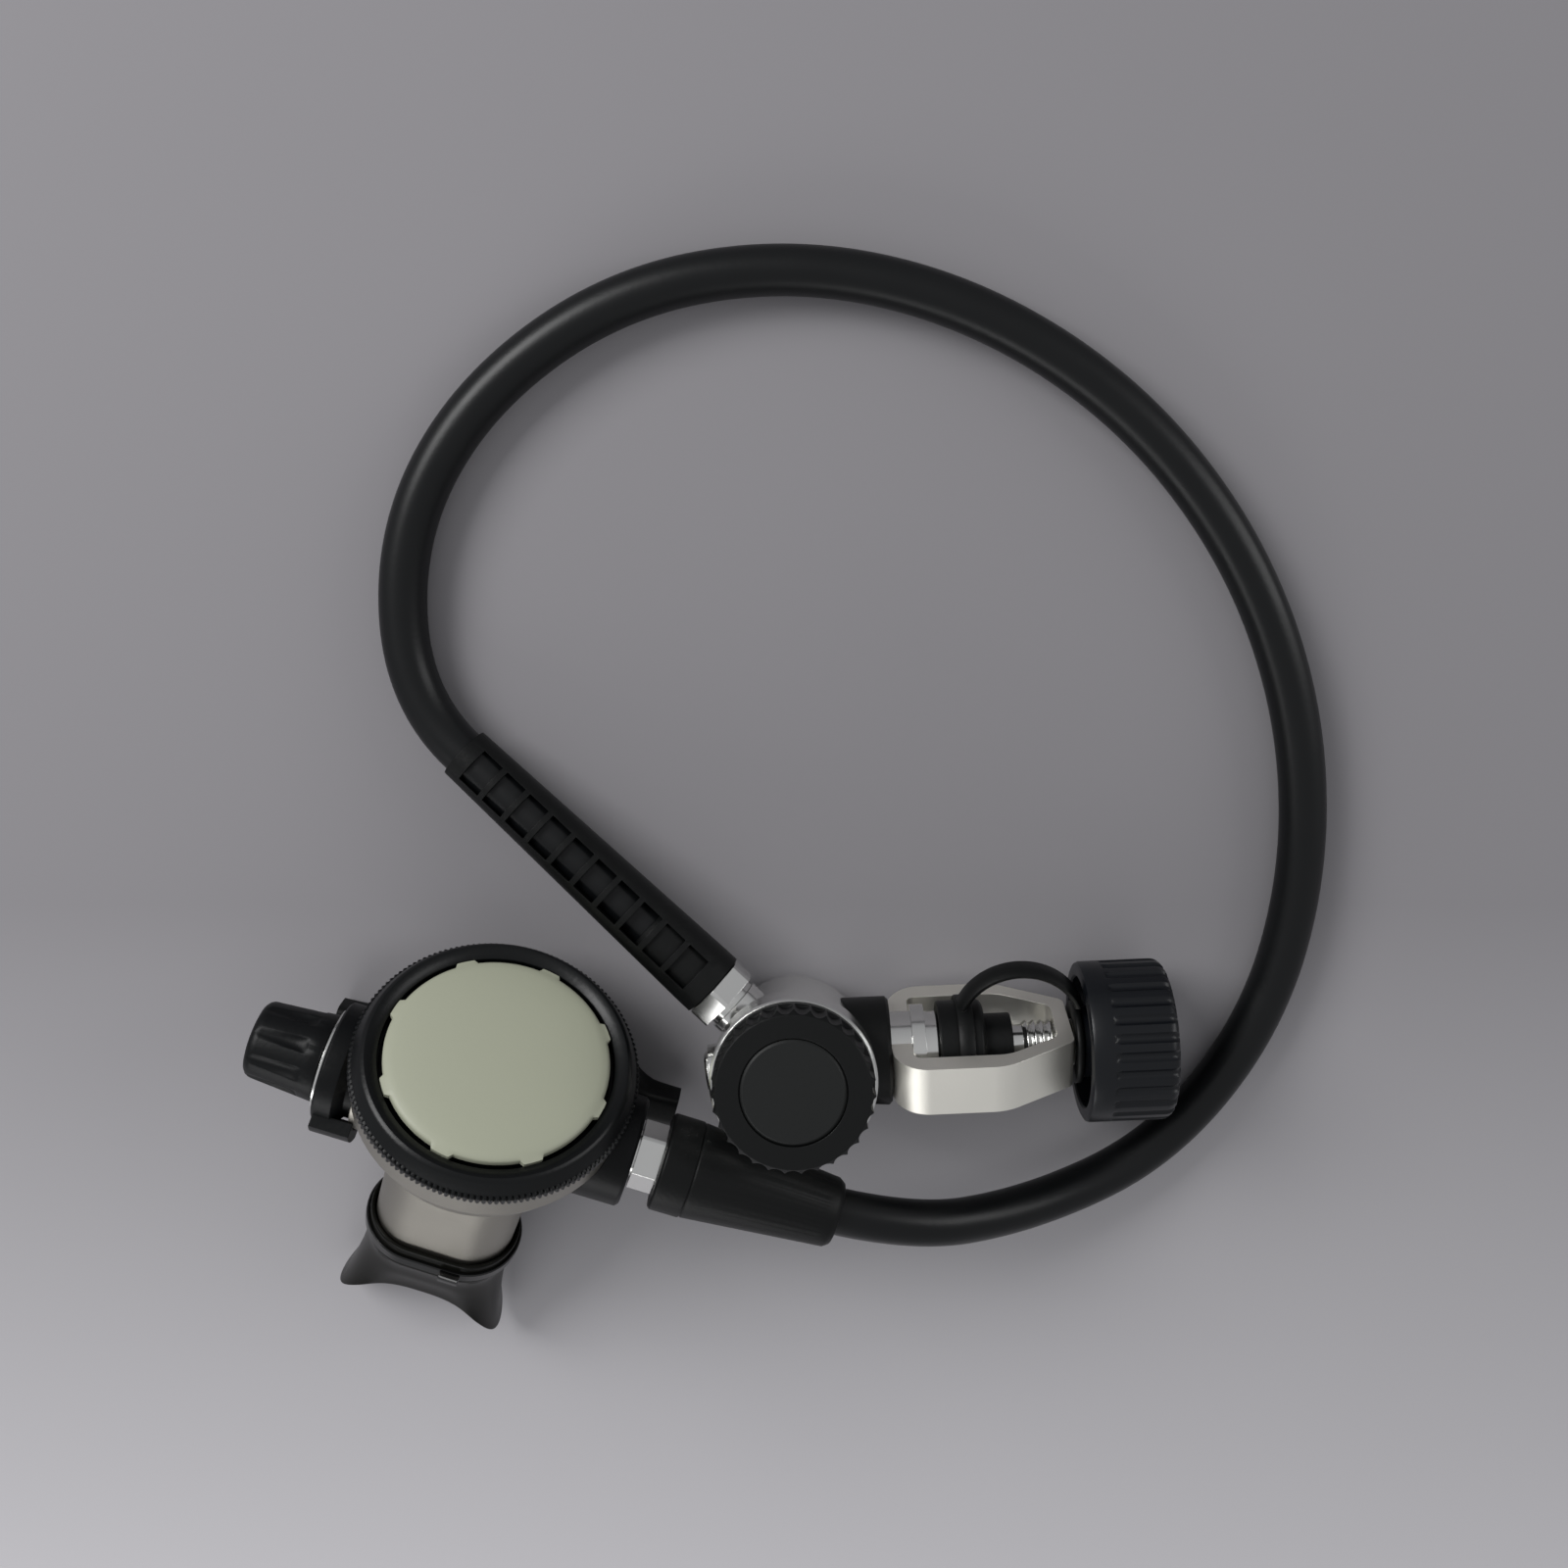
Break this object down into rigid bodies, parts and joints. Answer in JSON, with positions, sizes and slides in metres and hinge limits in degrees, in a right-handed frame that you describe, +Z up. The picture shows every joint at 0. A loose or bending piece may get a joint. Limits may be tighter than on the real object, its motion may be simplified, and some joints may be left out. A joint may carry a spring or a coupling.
{
  "type": "scuba regulator set",
  "caption": "Scuba regulator with a yoke first stage, one long hose in a sleeve and boot, and a second stage with purge cover, breathing controls and mouthpiece.",
  "frame": {"origin": "on the table under the middle of the two stages and the mouthpiece, hose left out", "axes": "+X from the second stage to the yoke knob, +Y from the mouthpiece to the far side of the hose loop, +Z up from the table"},
  "size_m": [0.2721, 0.2894, 0.074],
  "materials": {
    "satin_metal": "satin",
    "chrome_metal": "polished",
    "yoke_metal": "satin",
    "black_plastic": "matte",
    "knob_plastic": "ribbed, semi matte",
    "ring_plastic": "semi gloss",
    "disc_plastic": "matte",
    "purge_plastic": "matte",
    "black_rubber": "matte",
    "hose_rubber": "semi gloss",
    "mouthpiece_rubber": "translucent, semi gloss",
    "seal_rubber": "matte",
    "clear_rubber": "matte",
    "brass_part": "machined",
    "steel_spring": "drawn",
    "filter_bronze": "sintered"
  },
  "bodies": {
    "first_stage": {"first_stage_body": "chrome_metal", "diaphragm_clamp": "chrome_metal", "end_cap": "black_plastic", "cap_disc": "disc_plastic", "outer_seal": "seal_rubber", "first_stage_diaphragm": "seal_rubber", "main_spring": "steel_spring", "adjusting_screw": "brass_part", "valve_seat": "brass_part", "poppet_return_spring": "steel_spring", "balance_plug": "brass_part", "balance_plug_ring": "seal_rubber", "left_port_plug": "chrome_metal", "right_port_plug": "chrome_metal", "high_port_plug": "chrome_metal", "yoke_retainer": "chrome_metal", "retainer_ring": "seal_rubber", "inlet_filter": "filter_bronze", "filter_clip": "steel_spring", "yoke_collar": "black_rubber", "yoke": "yoke_metal", "hose": "hose_rubber", "hose_sleeve": "black_rubber", "hose_fitting": "chrome_metal", "hose_ferrule": "black_rubber", "hose_boot": "black_rubber", "swivel_nut": "chrome_metal", "swivel_ferrule": "chrome_metal"},
    "pressure_valve": {"lift_plate": "brass_part", "lift_pin": "steel_spring", "high_pressure_poppet": "brass_part"},
    "screw_foot": {"screw_foot": "chrome_metal"},
    "yoke_knob": {"yoke_screw": "chrome_metal", "yoke_knob": "knob_plastic"},
    "dust_cap": {"dust_cap": "black_rubber", "dust_cap_strap": "black_rubber"},
    "second_stage": {"second_stage_case": "satin_metal", "front_ring": "ring_plastic", "cover_plate": "black_plastic", "demand_diaphragm": "clear_rubber", "purge_spring": "steel_spring", "poppet_spring": "steel_spring", "valve_barrel": "brass_part", "inlet_orifice": "brass_part", "inlet_tube": "chrome_metal", "swivel_ring": "seal_rubber", "barrel_end_cover": "black_plastic", "adjuster_nut": "chrome_metal", "exhaust_valve": "clear_rubber", "exhaust_tee": "black_plastic", "mouthpiece": "mouthpiece_rubber", "mouthpiece_tie": "black_rubber"},
    "purge_cover": {"purge_cover": "purge_plastic"},
    "diaphragm_disc": {"diaphragm_disc": "steel_spring"},
    "demand_lever": {"demand_lever": "steel_spring"},
    "demand_poppet": {"demand_poppet": "brass_part"},
    "inhalation_knob": {"inhalation_knob": "knob_plastic"},
    "adjuster_piston": {"adjuster_piston": "brass_part"},
    "venturi_lever": {"venturi_lever": "black_plastic", "flow_vane": "black_plastic"}
  },
  "joints": [
    {"name": "first_stage_valve", "type": "slide", "parent": "first_stage", "child": "pressure_valve", "axis": [0.0108, -0.2213, -0.9751], "range_m": [0, 0.0008], "stiffness_N_per_m": 8000, "deforming": ["main_spring", "poppet_return_spring", "first_stage_diaphragm"]},
    {"name": "yoke_screw_slide", "type": "slide", "parent": "first_stage", "child": "screw_foot", "axis": [0.9988, 0.0489, 0], "range_m": [0, 0.01]},
    {"name": "yoke_knob_turn", "type": "hinge", "parent": "screw_foot", "child": "yoke_knob", "pos_m": [0.07988, 0.02963, 0.0204], "axis": [0.9988, 0.0489, 0], "range_deg": [0, 1800]},
    {"name": "dust_cap_slide", "type": "slide", "parent": "first_stage", "child": "dust_cap", "axis": [0.9988, 0.0489, 0], "range_m": [0, 0.005]},
    {"name": "hose_swivel", "type": "hinge", "parent": "first_stage", "child": "second_stage", "pos_m": [-0.05693, 0.01953, 0.0355], "axis": [-0.9503, 0.3104, -0.024], "range_deg": [-10, 25]},
    {"name": "purge_press", "type": "slide", "parent": "second_stage", "child": "purge_cover", "axis": [-0.2483, -0.8021, -0.5432], "range_m": [0, 0.0025], "stiffness_N_per_m": 900, "springref_m": -0.001, "deforming": ["purge_spring", "demand_diaphragm"]},
    {"name": "disc_follow", "type": "slide", "parent": "second_stage", "child": "diaphragm_disc", "axis": [-0.2483, -0.8021, -0.5432], "range_m": [0, 0.0025]},
    {"name": "lever_tilt", "type": "hinge", "parent": "second_stage", "child": "demand_lever", "pos_m": [-0.04251, 0.012, 0.03415], "axis": [-0.1879, -0.5102, 0.8393], "range_deg": [0, 8.65]},
    {"name": "poppet_lift", "type": "slide", "parent": "second_stage", "child": "demand_poppet", "axis": [-0.9503, 0.3104, -0.024], "range_m": [0, 0.00085], "deforming": ["poppet_spring"]},
    {"name": "inhalation_knob_turn", "type": "hinge", "parent": "second_stage", "child": "inhalation_knob", "pos_m": [-0.10444, 0.03505, 0.0343], "axis": [-0.9503, 0.3104, -0.024], "range_deg": [0, 720]},
    {"name": "adjuster_slide", "type": "slide", "parent": "second_stage", "child": "adjuster_piston", "axis": [0.9503, -0.3104, 0.024], "range_m": [0, 0.003]},
    {"name": "venturi_turn", "type": "hinge", "parent": "second_stage", "child": "venturi_lever", "pos_m": [-0.09019, 0.0304, 0.03466], "axis": [0.9503, -0.3104, 0.024], "range_deg": [0, 60]}
  ],
  "couplings": [
    {"joint": "yoke_screw_slide", "follows": "yoke_knob_turn", "m_per_rad": 0.00031831},
    {"joint": "dust_cap_slide", "follows": "yoke_knob_turn", "m_per_rad": 0.00015915},
    {"joint": "disc_follow", "follows": "purge_press", "ratio": 1},
    {"joint": "lever_tilt", "follows": "purge_press", "rad_per_m": 57.6},
    {"joint": "poppet_lift", "follows": "purge_press", "ratio": 0.34},
    {"joint": "adjuster_slide", "follows": "inhalation_knob_turn", "m_per_rad": 0.00023873}
  ]
}
